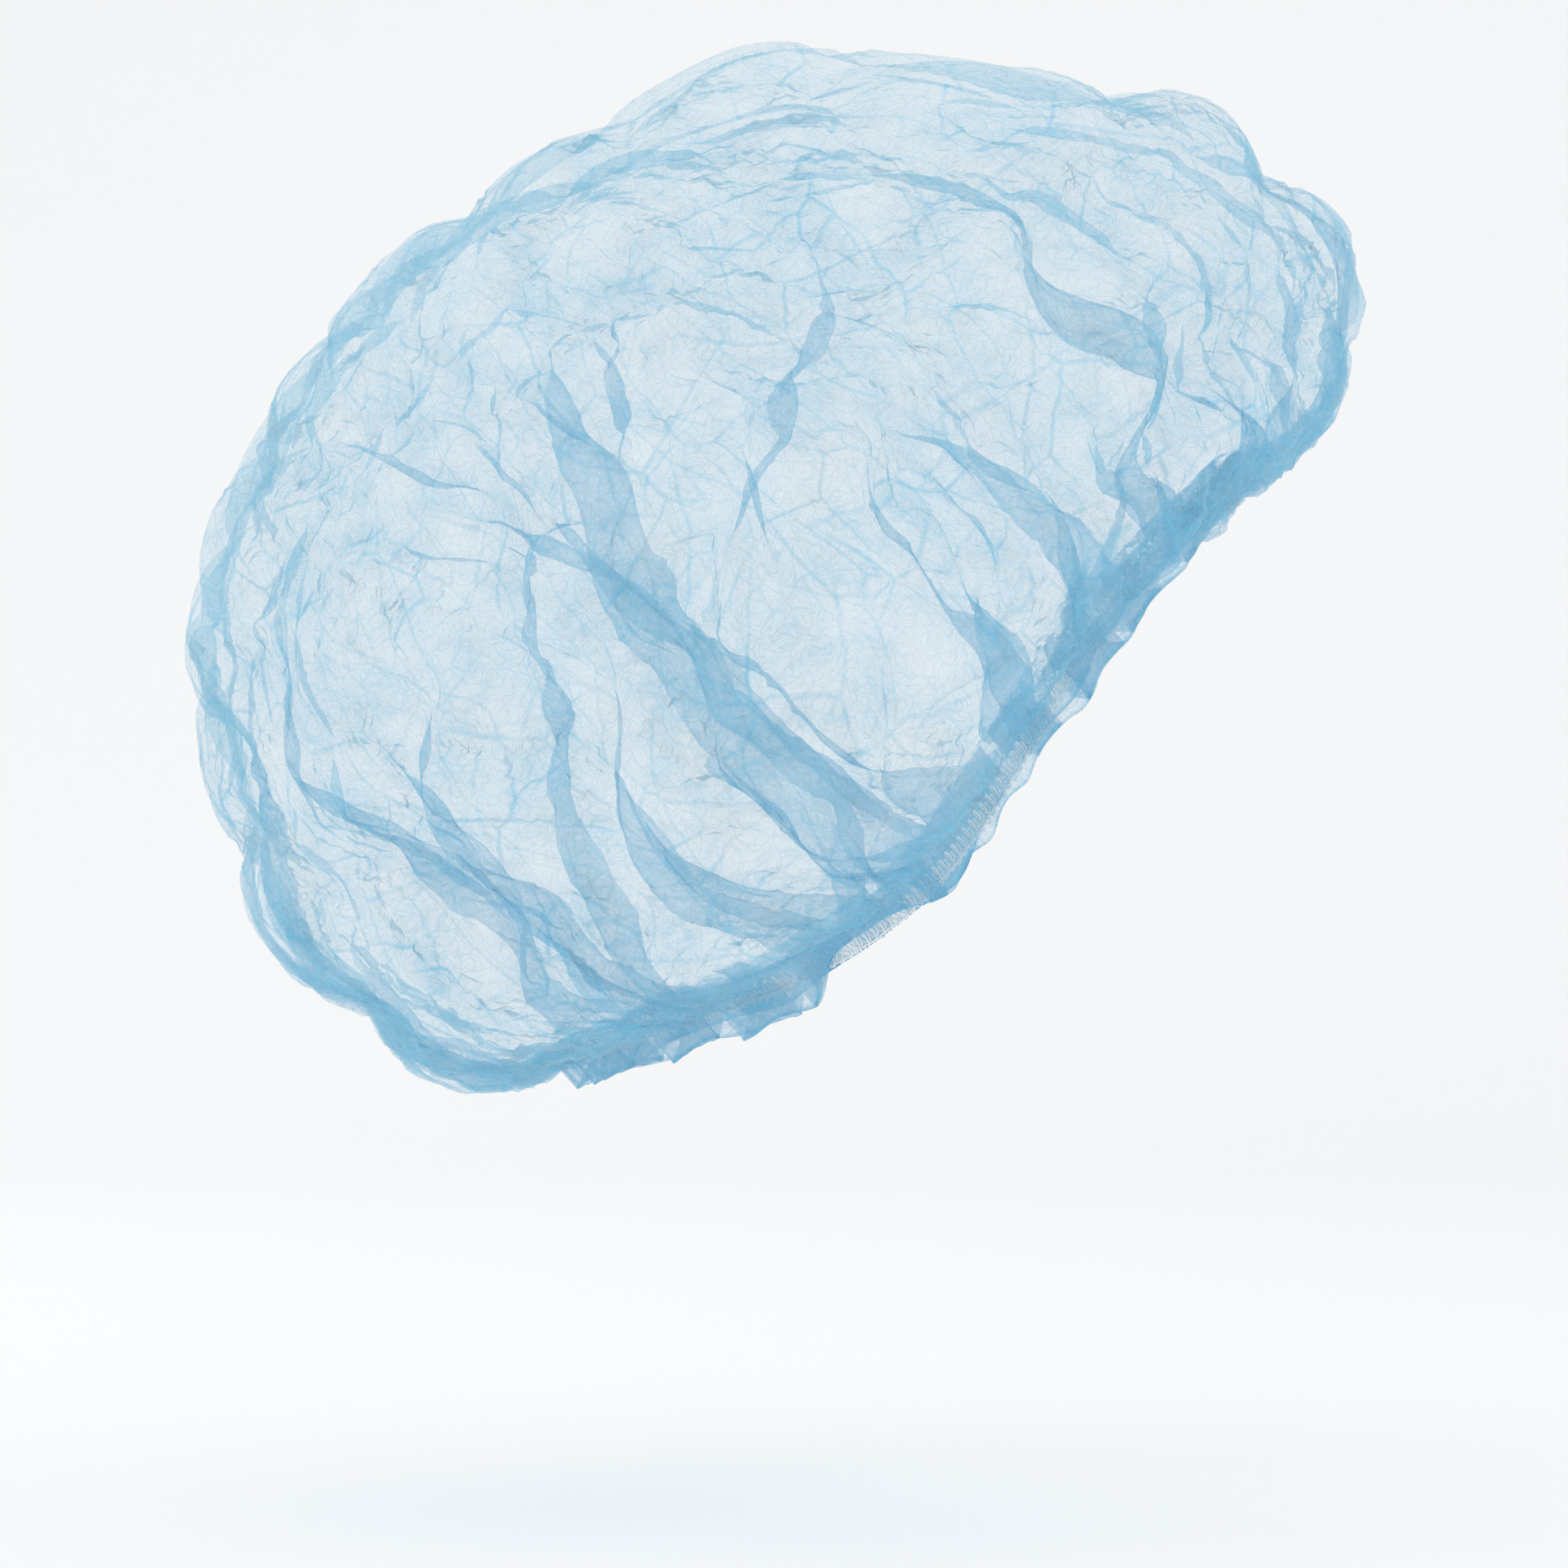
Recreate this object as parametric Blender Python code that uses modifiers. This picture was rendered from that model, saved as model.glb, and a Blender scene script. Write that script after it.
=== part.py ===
"""Disposable hairnet: a gathered nonwoven crown, its turned hem and the elastic band in it.

Blender 4.5, metres, +Z up. The origin is the middle of the opening that the head goes
in, +X is the wearer's front and +Y the wearer's left. The cap keeps its worn form.
"""

import math

import bmesh
import bpy
import numpy as np

OPENING_LENGTH = 0.190
OPENING_WIDTH = 0.152
OPENING_TILT = math.radians(41)
EAR_DIP = 0.024
EAR_TURN = 106
EAR_SPAN = 46
FRONT_REACH = 0.142
BACK_REACH = 0.125
SIDE_REACH = 0.103
CROWN_HEIGHT = 0.159

CLOTH_WALL = 0.0010
HEM_WALL = 0.0010
HEM_DEPTH = 0.0130
ELASTIC_WIDTH = 0.0045
ELASTIC_THICKNESS = 0.0012
PIECE_GAP = 0.0003
HEADING = 0.0030
CUFF_MARGIN = 0.0020
CUFF_DEPTH = HEADING + ELASTIC_WIDTH + CUFF_MARGIN

GATHERS = 32
GATHER_DEPTH = 0.0045
GATHER_FADE = 0.36
GATHER_SLANT = 1.3
WINDOW_TURN = 113
WINDOW_SPAN = 9
WINDOW_LIFT = 0.0045
PUFF_HEIGHT = 0.010
PLEAT_HEIGHT = 0.013
PLEAT_WIDTH = 0.014

RIM_COLUMNS = 4 * GATHERS
RIM_CLIMBS = (0.00, 0.03, 0.07, 0.12, 0.18, 0.24, 0.30, 0.36, 0.42, 0.48, 0.54, 0.60)
SIDE_COLUMNS = 2 * GATHERS
SIDE_CLIMBS = (0.66, 0.72, 0.78, 0.84)
TOP_COLUMNS = GATHERS
TOP_CLIMBS = (0.89, 0.93, 0.97)

FORWARD = np.array([math.cos(OPENING_TILT), 0, math.sin(OPENING_TILT)])
UPWARD = np.array([-math.sin(OPENING_TILT), 0, math.cos(OPENING_TILT)])
SIDEWARD = np.array([0, -1.0, 0])

# Sections of the crown from its rim to its top. Each gives the reach from the middle, in
# shares of the reach on that side, and the height over the cuff, in shares of the rest.
SECTIONS = np.array([
    # climb, front reach, front height, side reach, side height, back reach, back height
    (0.00, 0.66, 0.000, 0.72, 0.000, 0.76, 0.000),
    (0.05, 0.76, -0.060, 0.80, 0.020, 0.85, 0.005),
    (0.12, 0.88, -0.045, 0.92, 0.080, 0.95, 0.055),
    (0.22, 0.97, 0.060, 0.99, 0.230, 1.00, 0.215),
    (0.34, 1.00, 0.250, 1.00, 0.420, 0.99, 0.415),
    (0.46, 0.96, 0.420, 0.96, 0.590, 0.92, 0.600),
    (0.58, 0.84, 0.590, 0.86, 0.740, 0.79, 0.748),
    (0.70, 0.66, 0.748, 0.68, 0.865, 0.61, 0.865),
    (0.82, 0.43, 0.885, 0.44, 0.948, 0.39, 0.938),
    (0.92, 0.19, 0.970, 0.19, 0.989, 0.18, 0.985),
    (1.00, 0.00, 1.000, 0.00, 1.000, 0.00, 1.000),
])

# Lobes and dents of the crown. Turn is in degrees from the front by the wearer's right,
# spread in shares of the side reach and height in shares of the puff height.
PUFFS = (
    # turn, climb, spread, height
    (2, 0.12, 0.16, -0.45),
    (3, 0.25, 0.16, 0.35),
    (4, 0.37, 0.16, 0.25),
    (5, 0.57, 0.15, -0.50),
    (8, 0.77, 0.22, 0.45),
    (20, 0.88, 0.16, -0.35),
    (75, 0.94, 0.24, 0.45),
    (140, 0.88, 0.16, -0.30),
    (170, 0.76, 0.12, -0.25),
    (176, 0.62, 0.16, 0.25),
    (177, 0.46, 0.18, -0.40),
    (178, 0.28, 0.20, 0.40),
    (170, 0.05, 0.20, -0.20),
    (32, 0.20, 0.20, -0.60),
    (60, 0.42, 0.26, 0.45),
    (75, 0.12, 0.18, -0.40),
    (100, 0.24, 0.16, -0.70),
    (108, 0.47, 0.20, -0.80),
    (120, 0.70, 0.28, 0.50),
    (128, 0.33, 0.20, 0.60),
    (150, 0.20, 0.22, 0.40),
    (154, 0.55, 0.22, 0.35),
    (-24, 0.34, 0.26, 0.60),
    (-42, 0.16, 0.20, -0.50),
    (-52, 0.56, 0.26, -0.50),
    (-78, 0.30, 0.30, 0.60),
    (-96, 0.62, 0.28, -0.45),
    (-118, 0.38, 0.26, 0.55),
    (-142, 0.18, 0.24, -0.45),
    (-150, 0.58, 0.26, 0.45),
)

# Pleats of the crown, each a straight ridge. Width is in shares of the pleat width and
# height in shares of the pleat height.
PLEATS = (
    # start turn, start climb, end turn, end climb, width, height
    (91, 0.03, 90, 0.33, 1.5, 1.00),
    (92, 0.33, 89, 0.62, 1.2, 0.90),
    (89, 0.27, 66, 0.35, 0.9, 0.80),
    (66, 0.35, 53, 0.47, 0.9, 0.90),
    (118, 0.07, 107, 0.28, 1.2, 0.80),
    (107, 0.28, 98, 0.42, 1.2, 0.70),
    (97, 0.43, 115, 0.61, 0.8, 0.70),
    (116, 0.62, 160, 0.82, 0.8, 0.50),
    (98, 0.42, 126, 0.54, 0.8, 0.65),
    (88, 0.64, 58, 0.76, 0.9, 0.70),
    (54, 0.77, 27, 0.70, 0.8, 0.50),
    (86, 0.62, 72, 0.40, 0.7, 0.50),
    (39, 0.70, 57, 0.48, 0.8, 0.60),
    (40, 0.52, 36, 0.33, 0.9, 0.80),
    (46, 0.25, 36, 0.07, 1.1, 0.80),
    (59, 0.21, 51, 0.06, 1.0, 0.80),
    (62, 0.08, 82, 0.22, 0.9, 0.60),
    (78, 0.03, 88, 0.13, 0.9, 0.60),
    (104, 0.03, 104, 0.16, 1.0, 0.80),
    (120, 0.03, 122, 0.17, 1.0, 0.70),
    (135, 0.03, 124, 0.22, 1.1, 0.80),
    (140, 0.08, 136, 0.36, 1.0, 0.80),
    (162, 0.11, 142, 0.34, 1.0, 0.80),
    (142, 0.34, 124, 0.55, 1.0, 0.70),
    (154, 0.30, 148, 0.55, 0.9, 0.60),
    (174, 0.61, 132, 0.49, 0.8, 0.50),
    (98, 0.92, 107, 0.60, 0.9, 0.50),
    (-20, 0.06, -34, 0.36, 1.1, 0.70),
    (-34, 0.36, -62, 0.56, 1.0, 0.60),
    (-60, 0.04, -66, 0.30, 1.2, 0.80),
    (-66, 0.30, -88, 0.56, 1.0, 0.70),
    (-92, 0.04, -98, 0.34, 1.3, 0.90),
    (-98, 0.34, -120, 0.60, 1.0, 0.60),
    (-128, 0.05, -130, 0.32, 1.2, 0.80),
    (-130, 0.32, -146, 0.58, 1.0, 0.60),
    (-160, 0.08, -156, 0.36, 1.1, 0.70),
    (-88, 0.58, -40, 0.74, 0.9, 0.60),
    (-122, 0.62, -164, 0.80, 0.9, 0.50),
)


def curve_through(places, table):
    """Values of a table's columns at the given places, on a smooth curve through its rows."""
    keys = table[:, 0]
    values = table[:, 1:]
    slopes = np.gradient(values, keys, axis=0)
    row = np.clip(np.searchsorted(keys, places, side="right") - 1, 0, len(keys) - 2)
    span = keys[row + 1] - keys[row]
    part = (places - keys[row]) / span
    ease = part ** 2 * (3 - 2 * part)
    start_pull = span * part * (1 - part) ** 2
    end_pull = -span * part ** 2 * (1 - part)
    return (values[row] + ease[..., None] * (values[row + 1] - values[row])
            + start_pull[..., None] * slopes[row] + end_pull[..., None] * slopes[row + 1])


def ellipse_reach(turn, ahead, behind, side):
    """Distance from the middle to a ring with these reaches, at each turn."""
    along = np.cos(turn) / np.where(np.cos(turn) > 0, ahead, behind)
    return 1 / np.hypot(along, np.sin(turn) / side)


def outward(turn):
    """Unit vector from the opening's axis at each turn."""
    return np.cos(turn)[..., None] * FORWARD + np.sin(turn)[..., None] * SIDEWARD


def turns_from(turn, place):
    """Degrees between a turn in radians and a place in degrees, the short way round."""
    return (np.degrees(turn) - place + 180) % 360 - 180


def ear_dip(turn):
    """How far the rim drops behind the ears."""
    ears = (turns_from(turn, EAR_TURN), turns_from(turn, -EAR_TURN))
    return EAR_DIP * sum(np.exp(-(ear / EAR_SPAN) ** 2) for ear in ears)


def ring(turn, inset, height):
    """A point of the cuff: so far in from the rim's own ring, and so far up its axis."""
    half_length = OPENING_LENGTH / 2
    reach = ellipse_reach(turn, half_length, half_length, OPENING_WIDTH / 2) - inset
    return reach[..., None] * outward(turn) + (height - ear_dip(turn))[..., None] * UPWARD


def dome(turn, climb):
    """A point of the smooth crown, from the top of the cuff at 0 to the crown's top at 1."""
    shares = curve_through(climb, SECTIONS)
    front = np.clip(np.cos(turn), 0, 1) ** 2
    back = np.clip(-np.cos(turn), 0, 1) ** 2
    side = np.sin(turn) ** 2
    reach_share = front * shares[..., 0] + side * shares[..., 2] + back * shares[..., 4]
    height_share = front * shares[..., 1] + side * shares[..., 3] + back * shares[..., 5]
    full = ellipse_reach(turn, FRONT_REACH, BACK_REACH, SIDE_REACH)
    half_length = OPENING_LENGTH / 2
    rim = ellipse_reach(turn, half_length, half_length, OPENING_WIDTH / 2)
    rim_share = front * SECTIONS[0, 1] + side * SECTIONS[0, 3] + back * SECTIONS[0, 5]
    near_rim = np.clip(1 - climb / 0.22, 0, 1) ** 2
    reach = reach_share * full + near_rim * (rim - rim_share * full)
    dip = ear_dip(turn) * np.clip(1 - climb / 0.5, 0, 1) ** 1.5
    height = CUFF_DEPTH + height_share * (CROWN_HEIGHT - CUFF_DEPTH) - dip
    return reach[..., None] * outward(turn) + height[..., None] * UPWARD


def dome_normal(turn, climb):
    """Outward normal of the smooth crown."""
    step = 0.004
    low = np.clip(climb - step, 0, 1 - 2 * step)
    up = dome(turn, low + 2 * step) - dome(turn, low)
    across = dome(turn + step, low + step) - dome(turn - step, low + step)
    normal = np.cross(up, across)
    return normal / np.linalg.norm(normal, axis=-1, keepdims=True)


def puff_height(points):
    """Rise of the lobes and dents over the smooth crown."""
    rise = np.zeros(points.shape[:-1])
    for turn, climb, spread, height in PUFFS:
        centre = dome(np.radians(float(turn)), np.float64(climb))
        distance = np.linalg.norm(points - centre, axis=-1)
        rise += height * PUFF_HEIGHT * np.exp(-(distance / (spread * SIDE_REACH)) ** 2)
    return rise


def pleat_height(points):
    """Rise of the pleats over the smooth crown."""
    rise = np.zeros(points.shape[:-1])
    parts = np.linspace(0, 1, 13)
    ends = 0.35 + 0.65 * np.sin(np.pi * parts)
    for start_turn, start_climb, end_turn, end_climb, width, height in PLEATS:
        turns = np.radians(start_turn + parts * (end_turn - start_turn))
        climbs = start_climb + parts * (end_climb - start_climb)
        distance = np.linalg.norm(points[..., None, :] - dome(turns, climbs), axis=-1)
        crest = np.clip(1 - distance / (width * PLEAT_WIDTH), 0, 1)
        rise = np.maximum(rise, height * PLEAT_HEIGHT * (ends * crest).max(axis=-1))
    return rise


def gather_height(turn, climb):
    """Rise of the gathers, which only push the cloth outward from the elastic."""
    wander = 0.5 * np.sin(3 * turn + 0.7) + 0.4 * np.sin(7 * turn)
    wave = 0.5 - 0.5 * np.cos(GATHERS * turn + wander)
    strength = 0.75 + 0.25 * np.sin(5 * turn + 1.3)
    return GATHER_DEPTH * wave * strength * np.clip(1 - climb / GATHER_FADE, 0, 1)


def crown_point(turn, climb):
    """A point on the middle of the crown's cloth above the cuff."""
    smooth = dome(turn, climb)
    normal = dome_normal(turn, climb)
    spread = np.clip(climb / 0.10, 0, 1)
    rise = spread * (puff_height(smooth) + pleat_height(smooth)) + gather_height(turn, climb)
    cuff = np.clip(1 - climb / 0.02, 0, 1)[..., None]
    way = cuff * outward(turn) + (1 - cuff) * normal
    return smooth + rise[..., None] * way


def window_lift(turn):
    """How far the crown's edge is drawn up where the elastic shows."""
    return WINDOW_LIFT * np.exp(-(turns_from(turn, WINDOW_TURN) / WINDOW_SPAN) ** 2)


def crown_edge(turn):
    """The crown's lower edge, which hangs past the elastic as a narrow ruffle."""
    edge = ring(turn, 0, window_lift(turn))
    return edge + gather_height(turn, np.zeros_like(turn))[..., None] * outward(turn)


def all_turns(columns):
    return np.arange(columns) * math.tau / columns


def add_loop(mesh, points):
    return [mesh.verts.new(point) for point in points]


def bridge(mesh, lower, upper):
    """Faces between two closed loops, the upper with as many points or half as many."""
    ratio = len(lower) // len(upper)
    for place in range(len(upper)):
        first = lower[ratio * place]
        second = lower[(ratio * place + 1) % len(lower)]
        top_first = upper[place]
        top_second = upper[(place + 1) % len(upper)]
        if ratio == 1:
            mesh.faces.new((first, top_first, top_second, second))
        else:
            third = lower[(ratio * place + 2) % len(lower)]
            mesh.faces.new((first, top_first, second))
            mesh.faces.new((second, top_first, top_second))
            mesh.faces.new((second, top_second, third))


def cloth_material(name, colour, roughness):
    material = bpy.data.materials.new(name)
    material.use_nodes = True
    shader = material.node_tree.nodes["Principled BSDF"]
    shader.inputs["Base Color"].default_value = (*colour, 1)
    shader.inputs["Roughness"].default_value = roughness
    shader.inputs["Metallic"].default_value = 0
    return material


def solid_from_loops(name, loops, pole, wall, material, collection):
    """A closed wall through a list of loops, with a pole above the last loop if given."""
    mesh = bmesh.new()
    rows = [add_loop(mesh, points) for points in loops]
    for lower, upper in zip(rows, rows[1:]):
        bridge(mesh, lower, upper)
    if pole is not None:
        top = mesh.verts.new(pole)
        last = rows[-1]
        for place in range(len(last)):
            mesh.faces.new((last[place], top, last[(place + 1) % len(last)]))
    data = bpy.data.meshes.new(name)
    mesh.to_mesh(data)
    mesh.free()
    data.materials.append(material)
    solid = bpy.data.objects.new(name, data)
    collection.objects.link(solid)
    thickness = solid.modifiers.new("Cloth thickness", "SOLIDIFY")
    thickness.thickness = wall
    thickness.offset = 0
    return solid


def make_crown(collection):
    """The cap's cloth: a ruffled cuff, then the puffed crown up to its middle."""
    turns = all_turns(RIM_COLUMNS)
    loops = [crown_edge(turns)]
    bands = ((RIM_COLUMNS, RIM_CLIMBS), (SIDE_COLUMNS, SIDE_CLIMBS), (TOP_COLUMNS, TOP_CLIMBS))
    for columns, climbs in bands:
        turns = all_turns(columns)
        loops += [crown_point(turns, np.full(columns, climb)) for climb in climbs]
    pole = crown_point(np.zeros(1), np.ones(1))[0]
    material = cloth_material("blue_nonwoven", (0.18, 0.51, 0.73), 0.85)
    solid_from_loops("crown_cloth", loops, pole, CLOTH_WALL, material, collection)


def make_hem(collection):
    """The turned-in layer: from the crown under the elastic and up its inner face."""
    turns = all_turns(RIM_COLUMNS)
    seat = CLOTH_WALL / 2 + PIECE_GAP
    meeting_inset = GATHER_SLANT * (seat + HEM_WALL / 2) - gather_height(turns, 0 * turns)
    shown = window_lift(turns) / WINDOW_LIFT
    drawn_inset = np.maximum(meeting_inset, seat + ELASTIC_THICKNESS)
    turn_inset = meeting_inset + shown * (drawn_inset - meeting_inset)
    turn_height = HEADING - PIECE_GAP - HEM_WALL / 2
    leg_inset = seat + ELASTIC_THICKNESS + PIECE_GAP + HEM_WALL / 2
    loops = [
        ring(turns, turn_inset, turn_height),
        ring(turns, leg_inset, turn_height),
        ring(turns, leg_inset, turn_height + HEM_DEPTH),
    ]
    material = cloth_material("blue_nonwoven_double", (0.17, 0.50, 0.72), 0.85)
    solid_from_loops("turned_hem", loops, None, HEM_WALL, material, collection)


def make_elastic(collection):
    """The knitted elastic, a flat band that lies in the hem's channel."""
    turns = all_turns(RIM_COLUMNS)
    inset = CLOTH_WALL / 2 + PIECE_GAP + ELASTIC_THICKNESS / 2
    loops = [ring(turns, inset, HEADING), ring(turns, inset, HEADING + ELASTIC_WIDTH)]
    material = cloth_material("white_knitted_elastic", (0.86, 0.90, 0.94), 0.75)
    solid_from_loops("elastic_band", loops, None, ELASTIC_THICKNESS, material, collection)


def main():
    for item in list(bpy.data.objects):
        bpy.data.objects.remove(item, do_unlink=True)
    collection = bpy.data.collections.new("disposable_hairnet")
    bpy.context.scene.collection.children.link(collection)
    make_crown(collection)
    make_hem(collection)
    make_elastic(collection)


main()
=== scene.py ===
"""A bouffant cap of thin spunbond cloth in its worn form, gathered on a looped elastic band."""
import math

import bpy
import numpy as np
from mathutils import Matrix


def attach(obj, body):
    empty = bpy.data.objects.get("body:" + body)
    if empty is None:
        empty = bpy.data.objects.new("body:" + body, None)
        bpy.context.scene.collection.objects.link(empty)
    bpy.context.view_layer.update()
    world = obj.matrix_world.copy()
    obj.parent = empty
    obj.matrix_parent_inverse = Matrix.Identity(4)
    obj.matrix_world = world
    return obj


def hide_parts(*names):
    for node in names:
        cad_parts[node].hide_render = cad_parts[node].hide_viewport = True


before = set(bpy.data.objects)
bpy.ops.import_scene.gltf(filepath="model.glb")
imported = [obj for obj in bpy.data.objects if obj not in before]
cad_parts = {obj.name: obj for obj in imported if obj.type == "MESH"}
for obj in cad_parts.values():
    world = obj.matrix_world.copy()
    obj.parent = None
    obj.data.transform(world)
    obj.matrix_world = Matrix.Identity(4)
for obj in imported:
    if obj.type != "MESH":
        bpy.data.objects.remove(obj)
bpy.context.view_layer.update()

# The cap's own sizes, in metres and radians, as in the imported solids.
OPENING_LENGTH = 0.190
OPENING_WIDTH = 0.152
OPENING_TILT = math.radians(41)
EAR_DIP = 0.024
EAR_TURN = 106
EAR_SPAN = 46
FRONT_REACH = 0.142
BACK_REACH = 0.125
SIDE_REACH = 0.103
CROWN_HEIGHT = 0.159
CUFF_DEPTH = 0.0095
PUFF_HEIGHT = 0.010
ELASTIC_INSET = 0.0014
ELASTIC_LOW = 0.0030
ELASTIC_WIDTH = 0.0045

# The cloth: a round with a radius of 290 mm to the folded edge, and 13 mm more turned under.
# Its rings of points, the ring where the crown ends, and how much of it is seated on the rim.
CUT_RADIUS = 0.290
HEM_TURN = 0.013
COARSE_RINGS = 90
FINE_RINGS = 180
CROWN_RINGS = 172
SEATED_WIDTH = 0.0078
HEM_COLUMNS_PER_THREAD = 2

# Where the turned edge is drawn up and the elastic shows.
WINDOW_TURN = 113
WINDOW_SPAN = 10
WINDOW_LIFT = 0.0066

# Where the edge is drawn up a little in front of that.
FORE_TURN = 86
FORE_SPAN = 17
FORE_LIFT = 0.0030

# The elastic's mesh: loops round the band, steps to a loop, steps of the core thread and sides
# of a yarn.
ELASTIC_LOOPS = 236
LOOP_STEPS = 20
CORE_STEPS = 480
YARN_SIDES = 5

# The studio: the floor's height, how far off the camera stands and how wide it sees at the cap,
# in metres, and its sensor in mm.
FLOOR_DROP = -0.160
CAMERA_AWAY = 1.6
FRAME_WIDTH = 0.338
SENSOR_WIDTH = 36

FORWARD = np.array([math.cos(OPENING_TILT), 0, math.sin(OPENING_TILT)])
UPWARD = np.array([-math.sin(OPENING_TILT), 0, math.cos(OPENING_TILT)])
SIDEWARD = np.array([0, -1.0, 0])

# Climb from the cuff to the top, then reach and height for front, side and back, as shares.
SECTIONS = np.array([
    (0.00, 0.66, 0.000, 0.72, 0.000, 0.76, 0.000),
    (0.05, 0.76, -0.060, 0.80, 0.020, 0.85, 0.005),
    (0.12, 0.88, -0.045, 0.92, 0.080, 0.95, 0.055),
    (0.22, 0.97, 0.060, 0.99, 0.230, 1.00, 0.215),
    (0.34, 1.00, 0.250, 1.00, 0.420, 0.99, 0.415),
    (0.46, 0.96, 0.420, 0.96, 0.590, 0.92, 0.600),
    (0.58, 0.84, 0.590, 0.86, 0.740, 0.79, 0.748),
    (0.70, 0.66, 0.748, 0.68, 0.865, 0.61, 0.865),
    (0.82, 0.43, 0.885, 0.44, 0.948, 0.39, 0.938),
    (0.92, 0.19, 0.970, 0.19, 0.989, 0.18, 0.985),
    (1.00, 0.00, 1.000, 0.00, 1.000, 0.00, 1.000),
])

# Puffs of slack cloth, and dips where it lies flatter: turn, climb, spread in side reaches,
# height in puff heights.
PUFFS = (
    (2, 0.12, 0.16, -0.45), (3, 0.25, 0.16, 0.05), (4, 0.37, 0.16, 0.05), (5, 0.57, 0.15, -0.50),
    (8, 0.77, 0.22, 0.75), (20, 0.88, 0.18, 0.00), (75, 0.94, 0.24, -0.50), (140, 0.88, 0.16, -0.45),
    (170, 0.76, 0.12, -0.40), (176, 0.62, 0.16, -0.10), (177, 0.46, 0.18, -0.75), (178, 0.24, 0.20, -0.40),
    (170, 0.07, 0.24, -0.70), (32, 0.20, 0.20, -0.60), (60, 0.42, 0.26, 0.45), (75, 0.12, 0.18, -0.40),
    (100, 0.24, 0.16, -0.70), (108, 0.47, 0.20, -0.80), (120, 0.70, 0.28, 0.50), (128, 0.33, 0.20, 0.60),
    (150, 0.20, 0.22, 0.40), (154, 0.55, 0.22, 0.35), (-24, 0.34, 0.26, 0.60), (-42, 0.16, 0.20, -0.50),
    (-52, 0.56, 0.26, -0.50), (-78, 0.30, 0.30, 0.60), (-96, 0.62, 0.28, -0.45), (-118, 0.38, 0.26, 0.55),
    (-142, 0.18, 0.24, -0.45), (-150, 0.58, 0.26, 0.45),
)

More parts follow.
